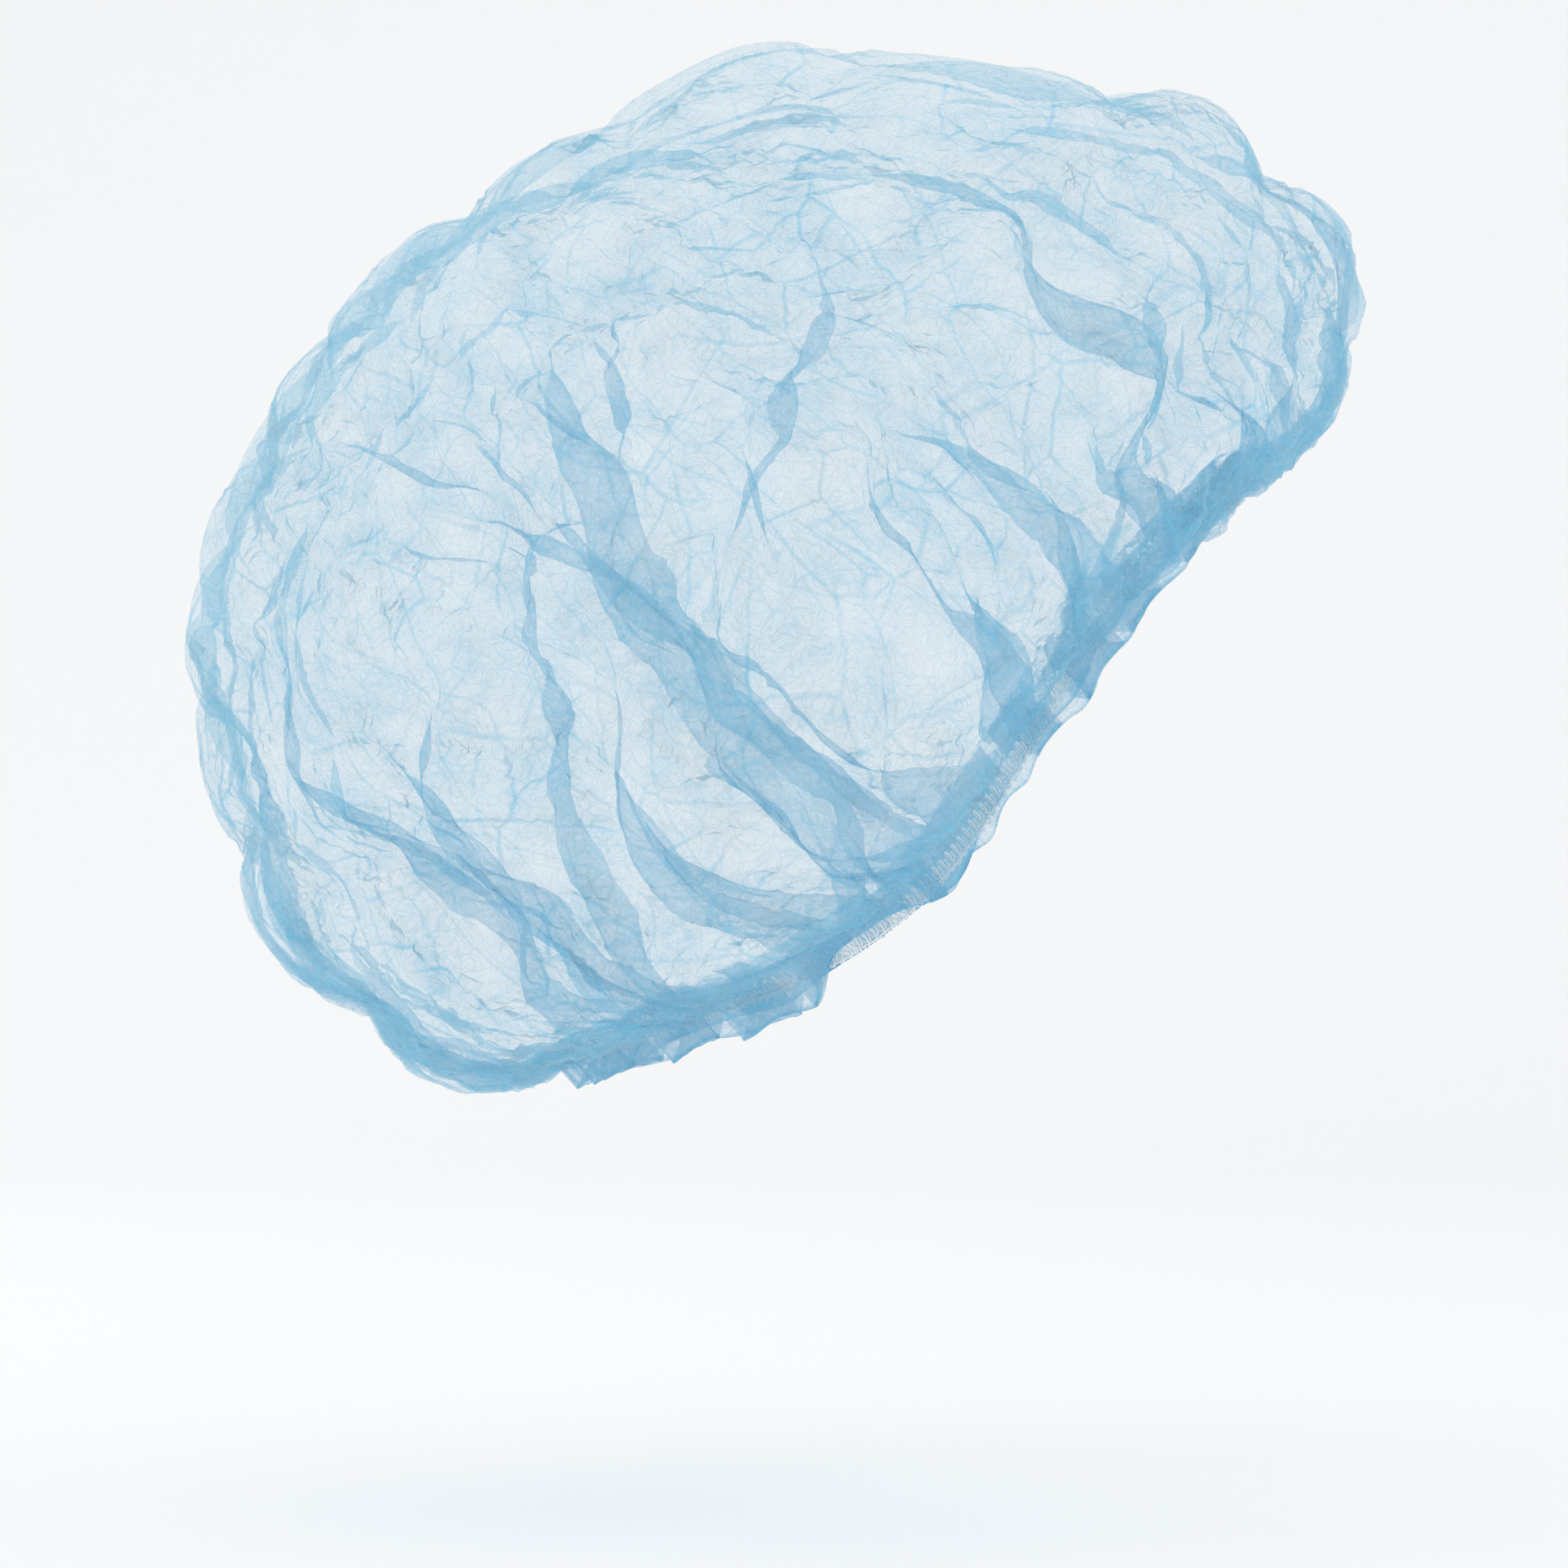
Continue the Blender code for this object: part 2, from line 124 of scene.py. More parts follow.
# Folds laid over on themselves: route of (turn, climb), then width, lean and height in mm,
# and whether the fold starts full at the rim. Lean is towards larger turns.
FOLDS = (
    (((92, -0.04), (88, 0.12), (86, 0.21), (88, 0.27), (88, 0.37), (86, 0.49), (88, 0.62)), 20, 44, 8, True),
    (((111, -0.04), (103, 0.16), (101, 0.23), (101, 0.31), (97, 0.41), (92, 0.49), (88, 0.61)),
     12, -22, 6, True),
    (((90, 0.26), (78, 0.28), (72, 0.30), (61, 0.36), (50, 0.48)), 15, 31, 6, False),
    (((122, -0.04), (115, 0.12), (114, 0.18), (108, 0.26), (104, 0.33), (98, 0.41)), 18, 38, 7, True),
    (((134, 0.14), (134, 0.22), (129, 0.30), (123, 0.34), (114, 0.35), (102, 0.36)), 7, 13, 4, False),
    (((97, 0.43), (105, 0.52), (116, 0.61), (167, 0.82)), 7, 11, 4, False),
    (((98, 0.42), (110, 0.46), (126, 0.54)), 7, 12, 4, False),
    (((98, 0.43), (98, 0.48), (100, 0.56), (107, 0.57)), 5, -7, 3, False),
    (((108, 0.57), (103, 0.70), (96, 0.90)), 7, 9, 4, False),
    (((88, 0.63), (82, 0.70), (68, 0.71), (54, 0.77)), 8, 13, 5, False),
    (((54, 0.77), (32, 0.77), (26, 0.70)), 5, 6, 3, False),
    (((88, 0.63), (78, 0.52), (74, 0.45), (70, 0.38)), 7, 12, 4, False),
    (((90, 0.56), (72, 0.59), (74, 0.50)), 5, -7, 3, False),
    (((40, 0.70), (54, 0.58), (57, 0.47)), 7, 12, 4, False),
    (((34, 0.66), (46, 0.51), (46, 0.47), (52, 0.41)), 6.5, 11, 4, False),
    (((37, 0.53), (44, 0.42), (37, 0.33)), 7, 11, 5, False),
    (((32, 0.33), (38, 0.28), (41, 0.26)), 6, 9, 4, False),
    (((28, -0.04), (34, 0.08), (42, 0.18), (42, 0.26)), 8, 14, 5, True),
    (((45, -0.04), (54, 0.14), (56, 0.21)), 8, -13, 5, True),
    (((50, -0.04), (54, 0.08), (60, 0.21)), 6, 9, 4, True),
    (((76, -0.04), (83, 0.07), (88, 0.12)), 8, 13, 5, True),
    (((104, -0.04), (104, 0.06), (104, 0.16)), 8, 13, 5, True),
    (((112, -0.04), (112, 0.09), (110, 0.19)), 7, -12, 5, True),
    (((135, -0.04), (132, 0.10), (130, 0.16), (124, 0.23)), 9, 17, 5, True),
    (((144, -0.04), (140, 0.12), (136, 0.25), (136, 0.38)), 11, -20, 6, True),
    (((165, -0.04), (152, 0.15), (146, 0.28), (136, 0.41), (125, 0.55)), 10, 18, 6, True),
    (((180, -0.04), (164, 0.15), (154, 0.34), (148, 0.55)), 9, 15, 5, True),
    (((182, 0.61), (150, 0.54), (130, 0.49)), 5, 7, 3, False),
    (((79, 0.48), (77, 0.42), (80, 0.36)), 4, -6, 3, False),
    (((52, -0.01), (68, 0.14), (75, 0.20)), 5, 8, 3, True),
    (((66, -0.02), (74, 0.09), (78, 0.17)), 5, 8, 3, True),
    (((84, -0.04), (86, 0.10), (80, 0.20)), 6, 9, 4, True),
    (((96, -0.04), (98, 0.10), (94, 0.22)), 6, -9, 4, True),
    (((118, -0.04), (120, 0.08), (116, 0.20)), 6, 9, 4, True),
    (((128, -0.04), (126, 0.10), (128, 0.20)), 6, -10, 4, True),
    (((152, -0.04), (148, 0.10), (152, 0.20)), 7, 11, 4, True),
    (((60, 0.35), (53, 0.35), (50, 0.32)), 5, 7, 3, False),
    (((126, 0.30), (119, 0.29), (109, 0.27), (102, 0.27)), 4.5, 6.5, 3, False),
    (((8, -0.04), (12, 0.22), (16, 0.44)), 9, 14, 5, True),
    (((-14, -0.04), (-18, 0.20), (-30, 0.42)), 9, -16, 5, True),
    (((-36, -0.04), (-40, 0.25), (-60, 0.55)), 10, -20, 6, True),
    (((-62, -0.04), (-64, 0.24), (-84, 0.52)), 10, 20, 6, True),
    (((-86, -0.04), (-90, 0.26), (-104, 0.60)), 11, -22, 6, True),
    (((-112, -0.04), (-112, 0.26), (-124, 0.50)), 10, 20, 6, True),
    (((-136, -0.04), (-134, 0.24), (-146, 0.56)), 10, -18, 6, True),
    (((-160, -0.04), (-158, 0.24), (-164, 0.46)), 9, 16, 5, True),
    (((-88, 0.60), (-64, 0.66), (-40, 0.74)), 6, 9, 4, False),
    (((-122, 0.62), (-146, 0.70), (-166, 0.80)), 6, 9, 4, False),
)

# Flaps of the gathered edge that hang past its line: turn, span in degrees, drop in mm.
FLAPS = (
    (38, 5, 1.4), (52, 4, 1.2), (64, 3, 1.6), (78, 3, 1.8), (88, 3, 2.0), (97, 3, 1.8), (125, 5, 3.0),
    (136, 4, 2.5), (150, 5, 2.0), (-20, 6, 1.5), (-60, 6, 2.5), (-95, 6, 3.0), (-130, 6, 2.5),
    (-160, 6, 2.0),
)

# Gathers that merge upwards two by two: count round the cap, climbs where they fade in, are
# full from, are full to and fade out, how far each laps (slope) and how high it stands in mm.
GATHERS = (
    (28, -1.00, -0.90, 0.06, 0.20, 3.9, 1.7),
    (14, 0.04, 0.16, 0.22, 0.42, 2.1, 3.4),
    (7, 0.20, 0.32, 0.42, 0.66, 1.2, 3.4),
)

# Slack between the folds stands up in soft facets with pinched lines between them, in metres.
FACET_COUNT = 74
FACET_APART = 0.031
FACET_HEIGHT = 0.0055
FACET_RAMP = 0.017

# Thin folds that run between star points: how many points, how far apart, the share of folds
# left out, the climb above which there are none, and how high they stand in mm.
STAR_COUNT = 76
STAR_APART = 0.028
STAR_LEFT_OUT = 0.34
STAR_TOP = 0.93
STAR_HEIGHT = 2.4

# Creases pressed into the flat cloth: how many, and half their shortest and longest length.
LARGE_CREASES = (200, 0.010, 0.045)
SMALL_CREASES = (600, 0.005, 0.022)


def curve_through(places, table):
    """Read a table's columns at places between its first column's keys, along smooth curves."""
    keys = table[:, 0]
    values = table[:, 1:]
    slopes = np.gradient(values, keys, axis=0)
    row = np.clip(np.searchsorted(keys, places, side="right") - 1, 0, len(keys) - 2)
    span = keys[row + 1] - keys[row]
    part = (places - keys[row]) / span
    blend = part ** 2 * (3 - 2 * part)
    leave = span * part * (1 - part) ** 2
    arrive = -span * part ** 2 * (1 - part)
    return (values[row] + blend[..., None] * (values[row + 1] - values[row])
            + leave[..., None] * slopes[row] + arrive[..., None] * slopes[row + 1])


def ease(value, low, high):
    """0 at low, 1 at high, and smooth between them."""
    part = np.clip((value - low) / (high - low), 0, 1)
    return part ** 2 * (3 - 2 * part)


def ellipse_reach(turn, ahead, behind, side):
    along = np.cos(turn) / np.where(np.cos(turn) > 0, ahead, behind)
    return 1 / np.hypot(along, np.sin(turn) / side)


def outward(turn):
    return np.cos(turn)[..., None] * FORWARD + np.sin(turn)[..., None] * SIDEWARD


def turns_from(turn, place):
    return (np.degrees(turn) - place + 180) % 360 - 180


def ear_dip(turn):
    return EAR_DIP * sum(np.exp(-(turns_from(turn, p) / EAR_SPAN) ** 2) for p in (EAR_TURN, -EAR_TURN))


def ring(turn, inset, height):
    """The opening's edge line, moved inwards by inset and up by height."""
    half = OPENING_LENGTH / 2
    reach = ellipse_reach(turn, half, half, OPENING_WIDTH / 2) - inset
    return reach[..., None] * outward(turn) + (height - ear_dip(turn))[..., None] * UPWARD


def dome(turn, climb):
    """The crown's smooth shell above its cuff."""
    shares = curve_through(climb, SECTIONS)
    front = np.clip(np.cos(turn), 0, 1) ** 2
    back = np.clip(-np.cos(turn), 0, 1) ** 2
    side = np.sin(turn) ** 2
    reach_share = front * shares[..., 0] + side * shares[..., 2] + back * shares[..., 4]
    height_share = front * shares[..., 1] + side * shares[..., 3] + back * shares[..., 5]
    half = OPENING_LENGTH / 2
    rim = ellipse_reach(turn, half, half, OPENING_WIDTH / 2)
    rim_share = front * SECTIONS[0, 1] + side * SECTIONS[0, 3] + back * SECTIONS[0, 5]
    near_rim = np.clip(1 - climb / 0.22, 0, 1) ** 2
    full = ellipse_reach(turn, FRONT_REACH, BACK_REACH, SIDE_REACH)
    reach = reach_share * full + near_rim * (rim - rim_share * full)
    dip = ear_dip(turn) * np.clip(1 - climb / 0.5, 0, 1) ** 1.5
    height = CUFF_DEPTH + height_share * (CROWN_HEIGHT - CUFF_DEPTH) - dip
    return reach[..., None] * outward(turn) + height[..., None] * UPWARD


CUFF_CLIMB = 0.04
CLIMBS = np.linspace(0, 1, 201)
_turns, _climbs = np.meshgrid(np.radians(np.arange(0, 360, 10.0)), CLIMBS, indexing="ij")
_steps = np.linalg.norm(np.diff(dome(_turns, _climbs), axis=1), axis=-1)
WAYS_UP = np.concatenate([[0], _steps.mean(0).cumsum()])


def climb_at(share):
    """The climb where a share of the way from the cut's edge to its middle lies."""
    way = share * (WAYS_UP[-1] + CUFF_DEPTH) - CUFF_DEPTH
    return np.where(way < 0, way / CUFF_DEPTH * CUFF_CLIMB, np.interp(way, WAYS_UP, CLIMBS))


def shell(turn, climb):
    """The dome, and below it the straight cuff down to the edge."""
    cuff = ring(turn, 0.0, CUFF_DEPTH * (1 + climb / CUFF_CLIMB))
    return np.where((climb < 0)[..., None], cuff, dome(turn, np.clip(climb, 0, 1)))


def unit(vectors):
    return vectors / (np.linalg.norm(vectors, axis=-1, keepdims=True) + 1e-12)


def facing(turn, climb):
    """The shell's outward direction."""
    step = 0.006
    low = np.clip(climb - step, -CUFF_CLIMB, 1 - 2 * step)
    up = shell(turn, low + 2 * step) - shell(turn, low)
    across = shell(turn + step, low + step) - shell(turn - step, low + step)
    cuff = np.clip(1 - climb / 0.03, 0, 1)[..., None]
    return unit((1 - cuff) * unit(np.cross(up, across)) + cuff * outward(turn))


def puff_rise(points, climb):
    rise = np.zeros(len(points))
    for turn, at, spread, height in PUFFS:
        middle = dome(np.radians(float(turn)), np.float64(at))
        rise += height * PUFF_HEIGHT * np.exp(-((points - middle) ** 2).sum(-1) / (spread * SIDE_REACH) ** 2)
    return rise * np.clip(climb / 0.1, 0, 1)


def edge_lift(turn, share):
    """How far the cloth's edge is drawn up at the window, or hangs down in flaps."""
    lift = WINDOW_LIFT * np.exp(-(turns_from(turn, WINDOW_TURN) / WINDOW_SPAN) ** 4)
    lift = lift + FORE_LIFT * np.exp(-(turns_from(turn, FORE_TURN) / FORE_SPAN) ** 4)
    drop = sum(d * 0.001 * np.exp(-(turns_from(turn, t) / s) ** 2) for t, s, d in FLAPS)
    return (lift - drop) * np.clip(1 - share / 0.05, 0, 1)


def gather_phase(turn):
    """Pleats round the edge, counted in radians and unevenly spaced."""
    uneven = 1.2 * np.sin(3 * turn + 0.7) + 0.9 * np.sin(5 * turn + 2.1) + 0.6 * np.sin(8 * turn + 4.0)
    return GATHERS[0][0] * turn + uneven + 0.35 * np.sin(13 * turn + 1.2)


def gather_shift(turn, climb):
    """Where the gathers move the cloth to: the turn it ends at, and how far out of the shell."""
    moved = turn.copy()
    rise = np.zeros_like(turn)
    for level, (count, start, full, last, end, lap, height) in enumerate(GATHERS):
        weight = ease(climb, start, full) * (1 - ease(climb, last, end))
        strength = 0.8 + 0.35 * np.sin(3 * turn + 1.4 * level) + 0.25 * np.sin(7 * turn + 2 * level)
        phase = gather_phase(turn) / 2 ** level + 0.9 * level + 2.5 * climb * np.sin(3 * turn + level)
        kink = np.arcsin(np.sin(26 * climb + 3 * np.sin(4 * turn + level))) * 2 / math.pi
        phase = phase + 1.1 * kink * ease(climb, 0.05, 0.2)
        tilt = 1.3 * np.sin(2 * turn + 1.9 * level + 0.5)
        if level:
            weight = weight * (1 - 0.45 * level * np.exp(-(turns_from(turn, 85) / 66) ** 6))
            middle = np.exp(-(turns_from(turn, 180) / 36) ** 4) + np.exp(-(turns_from(turn, 0) / 30) ** 4)
            weight = weight * (1 - 0.6 * middle)
        moved += weight * strength * lap / count * np.sin(phase)
        rise += weight * height * 0.001 * (1 + strength * np.sin(phase + tilt))
    return moved, rise


def puckers(turn):
    """Narrow puckers of the doubled edge between the elastic's stitches, 7 mm of cloth each."""
    return 0.0004 * np.sin(262 * turn + 2.2 * np.sin(11 * turn) + 1.7 * np.sin(29 * turn + 1))


def facet_seeds(rng):
    """Middles of the soft facets, spread over the crown."""
    seeds = []
    while len(seeds) < FACET_COUNT:
        turn = rng.uniform(0, math.tau, 1)
        climb = rng.uniform(0.08, 1.0, 1)
        place = dome(turn, climb)[0]
        if all(np.linalg.norm(place - other) > FACET_APART for other in seeds):
            seeds.append(place)
    return np.array(seeds)


def facets(points, climb, seeds):
    """How high the soft facets stand at each point, and how near it is to a pinched line."""
    apart = np.linalg.norm(points[:, None, :] - seeds[None, :, :], axis=2)
    order = np.argsort(apart, axis=1)[:, :2]
    near = np.take_along_axis(apart, order, axis=1)
    between = np.linalg.norm(seeds[order[:, 0]] - seeds[order[:, 1]], axis=1)
    from_line = (near[:, 1] ** 2 - near[:, 0] ** 2) / (2 * between)
    ramp = np.clip(from_line / FACET_RAMP, 0, 1)
    fade = ease(climb, 0.06, 0.22)
    return FACET_HEIGHT * (1 - (1 - ramp) ** 2 - 0.55) * fade, (1 - ramp) * fade


def small_folds(rng):
    """Thin folds that run between star points all over the crown, as rows like those of FOLDS."""
    stars = []
    while len(stars) < STAR_COUNT:
        turn, climb = rng.uniform(-180, 180), rng.uniform(0.16, 0.97)
        place = dome(np.radians(np.array([turn])), np.array([climb]))[0]
        if all(np.linalg.norm(place - other[2]) > STAR_APART for other in stars):
            stars.append((turn, climb, place))
    rows = []
    for i, (turn, climb, place) in enumerate(stars):
        apart = [np.linalg.norm(place - other[2]) for other in stars]
        for j in np.argsort(apart)[1:5]:
            if j < i and i in np.argsort([np.linalg.norm(stars[j][2] - o[2]) for o in stars])[1:5]:
                continue
            if rng.uniform() < STAR_LEFT_OUT or max(climb, stars[j][1]) > STAR_TOP:
                continue
            other = stars[j]
            across = turn + (other[0] - turn + 180) % 360 - 180
            halfway = ((turn + across) / 2 + rng.normal(0, 3), (climb + other[1]) / 2 + rng.normal(0, 0.02))
            lean = rng.choice([-1, 1]) * rng.uniform(4.5, 8.5)
            route = ((turn, climb), halfway, (across, other[1]))
            rows.append((route, rng.uniform(3.0, 5.0), lean, STAR_HEIGHT, False))
    return rows


def fold_over(points, normal, folds):
    """How far the laid-over folds move each point."""
    shift = np.zeros_like(points)
    room = np.ones(len(points))
    for route, width, lean, height, from_rim in folds:
        route = np.array(route, float)
        places = np.linspace(0, len(route) - 1, 8 * (len(route) - 1) + 1)
        turn = np.interp(places, np.arange(len(route)), route[:, 0])
        climb = np.interp(places, np.arange(len(route)), route[:, 1])
        line = shell(np.radians(turn), climb)
        steps = line[1:] - line[:-1]
        lengths = np.linalg.norm(steps, axis=1)
        total = lengths.sum()
        start = np.r_[0, lengths.cumsum()[:-1]]
        near = np.flatnonzero(np.linalg.norm(points - line.mean(0), axis=1) < total * 0.6 + 0.05)
        at, up = points[near], normal[near]
        nearest = np.full(len(near), 1e9)
        along = np.zeros(len(near))
        aside = np.zeros(len(near))
        across = np.zeros((len(near), 3))
        for i in range(len(steps)):
            part = np.clip(((at - line[i]) @ steps[i]) / lengths[i] ** 2, 0, 1)
            apart = at - (line[i] + part[:, None] * steps[i])
            distance = np.linalg.norm(apart, axis=1)
            way = np.cross(up, steps[i] / lengths[i])
            closer = distance < nearest
            nearest[closer] = distance[closer]
            along[closer] = (start[i] + part[closer] * lengths[i]) / total
            aside[closer] = (apart[closer] * way[closer]).sum(1)
            across[closer] = way[closer]
        # A fold runs in straight lengths, with a kink every 19 mm.
        kink = np.arcsin(np.sin(along * total / 0.006 + route[0, 0])) * 2 / math.pi
        aside = aside + 0.0011 * kink
        taper = np.clip((1 - along) / 0.45, 0, 1) ** 0.8
        if not from_rim:
            taper *= np.clip(along / 0.35, 0, 1) ** 0.8
        past_end = np.sqrt(np.maximum(nearest ** 2 - aside ** 2, 0))
        crest = np.clip(1 - np.abs(aside) / (width * 0.001), 0, 1) * taper
        crest *= np.clip(1 - past_end / 0.006, 0, 1)
        crest *= room[near]
        shift[near] += crest[:, None] * 0.001 * (height * up + lean * across)
        room[near] = np.minimum(room[near], 1 - 0.8 * crest)
    return shift


def ring_start(k):
    return 1 + 3 * k * (k - 1) if k else 0


def cut_round(rings):
    """A round of cloth as flat points and triangles: ring k has 6 k points."""
    flat = [np.zeros((1, 2))]
    for k in range(1, rings + 1):
        angle = np.arange(6 * k) * math.tau / (6 * k)
        flat.append(np.stack([np.cos(angle), np.sin(angle)], 1) * CUT_RADIUS * k / rings)
    faces = []
    for k in range(rings):
        inner, outer = ring_start(k), ring_start(k + 1)
        n_inner, n_outer = max(6 * k, 1), 6 * (k + 1)
        for s in range(6):
            i = np.arange(k + 1)
            a = inner + (s * k + i) % n_inner
            b = outer + (s * (k + 1) + i) % n_outer
            c = outer + (s * (k + 1) + i + 1) % n_outer
            faces.append(np.stack([a, b, c], 1))
            i = np.arange(k)
            a = inner + (s * k + i) % n_inner
            b = outer + (s * (k + 1) + i + 1) % n_outer
            c = inner + (s * k + i + 1) % n_inner
            faces.append(np.stack([a, b, c], 1))
    return np.concatenate(flat), np.concatenate(faces)


def thread_pairs(faces, count):
    """The triangles' edges, and the pairs of points that face each other over an edge."""
    edges = np.concatenate([faces[:, [0, 1]], faces[:, [1, 2]], faces[:, [2, 0]]])
    facing_point = np.concatenate([faces[:, 2], faces[:, 0], faces[:, 1]])
    ends = np.sort(edges, axis=1)
    code = ends[:, 0].astype(np.int64) * count + ends[:, 1]
    order = np.argsort(code, kind="stable")
    code, facing_point = code[order], facing_point[order]
    first = np.flatnonzero(np.r_[True, code[1:] != code[:-1]])
    twice = np.flatnonzero(code[1:] == code[:-1])
    threads = np.stack([code[first] // count, code[first] % count], 1)
    return threads, np.stack([facing_point[twice], facing_point[twice + 1]], 1)


def finer(rings, points):
    """The points of a round with twice as many rings, half way between a coarser one's."""
    out = np.zeros((ring_start(2 * rings + 1), points.shape[1]))
    out[0] = points[0]
    for k in range(1, rings + 1):
        row = points[ring_start(k):ring_start(k + 1)]
        both = np.zeros((12 * k, points.shape[1]))
        both[0::2] = row
        both[1::2] = (row + np.roll(row, -1, 0)) / 2
        out[ring_start(2 * k):ring_start(2 * k + 1)] = both
    for k in range(rings):
        m = 2 * k + 1
        inner = points[ring_start(k):ring_start(k) + max(6 * k, 1)]
        outer = points[ring_start(k + 1):ring_start(k + 2)]
        q = np.arange(m)
        for s in range(6):
            a = inner[(s * k + q // 2) % len(inner)]
            b = outer[(s * (k + 1) + q // 2 + q % 2) % len(outer)]
            out[ring_start(m) + s * m + q] = (a + b) / 2
    return out


def crease_lines(rng, count, shortest, longest):
    """Random creases in the flat cloth: start, end, strength and side."""
    angle = rng.uniform(0, math.tau, count)
    reach = np.sqrt(rng.uniform(0, 1, count)) * CUT_RADIUS
    middle = np.stack([np.cos(angle), np.sin(angle)], 1) * reach[:, None]
    radial = angle + rng.normal(0, 0.6, count)
    crosswise = angle + math.pi / 2 + rng.normal(0, 0.5, count)
    way = np.where(rng.uniform(0, 1, count) < 0.55, radial, crosswise)
    half = np.stack([np.cos(way), np.sin(way)], 1) * rng.uniform(shortest, longest, count)[:, None]
    return middle - half, middle + half, rng.uniform(0.4, 1.0, count), rng.choice([-1.0, 1.0], count)


def crease_depth(points, creases, width):
    """How strongly each flat point is creased, and the same with the crease's side as sign."""
    depth = np.zeros(len(points))
    signed = np.zeros(len(points))
    for start, end, strength, side in zip(*creases):
        way = end - start
        length = math.hypot(*way)
        near = np.flatnonzero(np.abs(points - (start + end) / 2).max(1) < length / 2 + width)
        away = points[near] - start
        part = np.clip(away @ way / length ** 2, 0, 1)
        distance = np.hypot(*(away - part[:, None] * way).T)
        taper = np.minimum(1, 4 * np.minimum(part, 1 - part) + 0.2)
        value = strength * np.clip(1 - distance / width, 0, 1) * taper
        signed[near] = np.where(value > np.abs(signed[near]), side * value, signed[near])
        depth[near] = np.maximum(depth[near], value)
    return depth, signed


class Round:
    """One round of cloth over the worn shell, at a given fineness."""

    def __init__(self, rings, seeds):
        self.flat, self.faces = cut_round(rings)
        self.threads, self.bends = thread_pairs(self.faces, len(self.flat))
        self.turn = np.arctan2(self.flat[:, 1], self.flat[:, 0])
        self.share = 1 - np.linalg.norm(self.flat, axis=1) / CUT_RADIUS
        self.climb = climb_at(self.share)
        self.moved, self.rise = gather_shift(self.turn, self.climb)
        self.smooth = shell(self.moved, self.climb)
        self.normal = facing(self.moved, self.climb)
        facet, self.pinch = facets(self.smooth, self.climb, seeds)
        # The cloth lies calmer on top, and along the middle line from the front to the back.
        strip = ease(self.climb, 0.15, 0.4) * (1 - ease(np.abs(self.normal @ SIDEWARD), 0.25, 0.6))
        self.calm = np.maximum(strip, 0.75 * ease(self.climb, 0.5, 0.75))
        lift = edge_lift(self.moved, self.share)
        out = puff_rise(self.smooth, self.climb) + facet * (1 + 0.2 * self.calm)
        self.base = self.smooth + out[:, None] * self.normal + lift[:, None] * UPWARD
        self.gathered = self.base + self.rise[:, None] * self.normal

    def rest(self, pairs):
        return np.linalg.norm(self.flat[pairs[:, 0]] - self.flat[pairs[:, 1]], axis=1)


def neighbour_table(pairs, values, count):
    """For each point its partners in pairs, and each pair's values, as rows filled up with itself."""
    one = np.concatenate([pairs[:, 0], pairs[:, 1]])
    other = np.concatenate([pairs[:, 1], pairs[:, 0]])
    order = np.argsort(one, kind="stable")
    one, other = one[order], other[order]
    held = np.bincount(one, minlength=count)
    place = np.arange(len(one)) - np.repeat(np.cumsum(held) - held, held)
    table = np.tile(np.arange(count)[:, None], (1, held.max()))
    table[one, place] = other
    filled = []
    for value in values:
        grid = np.zeros(table.shape, np.float32)
        grid[one, place] = np.tile(value, 2)[order]
        filled.append(grid)
    return table.astype(np.int32), filled


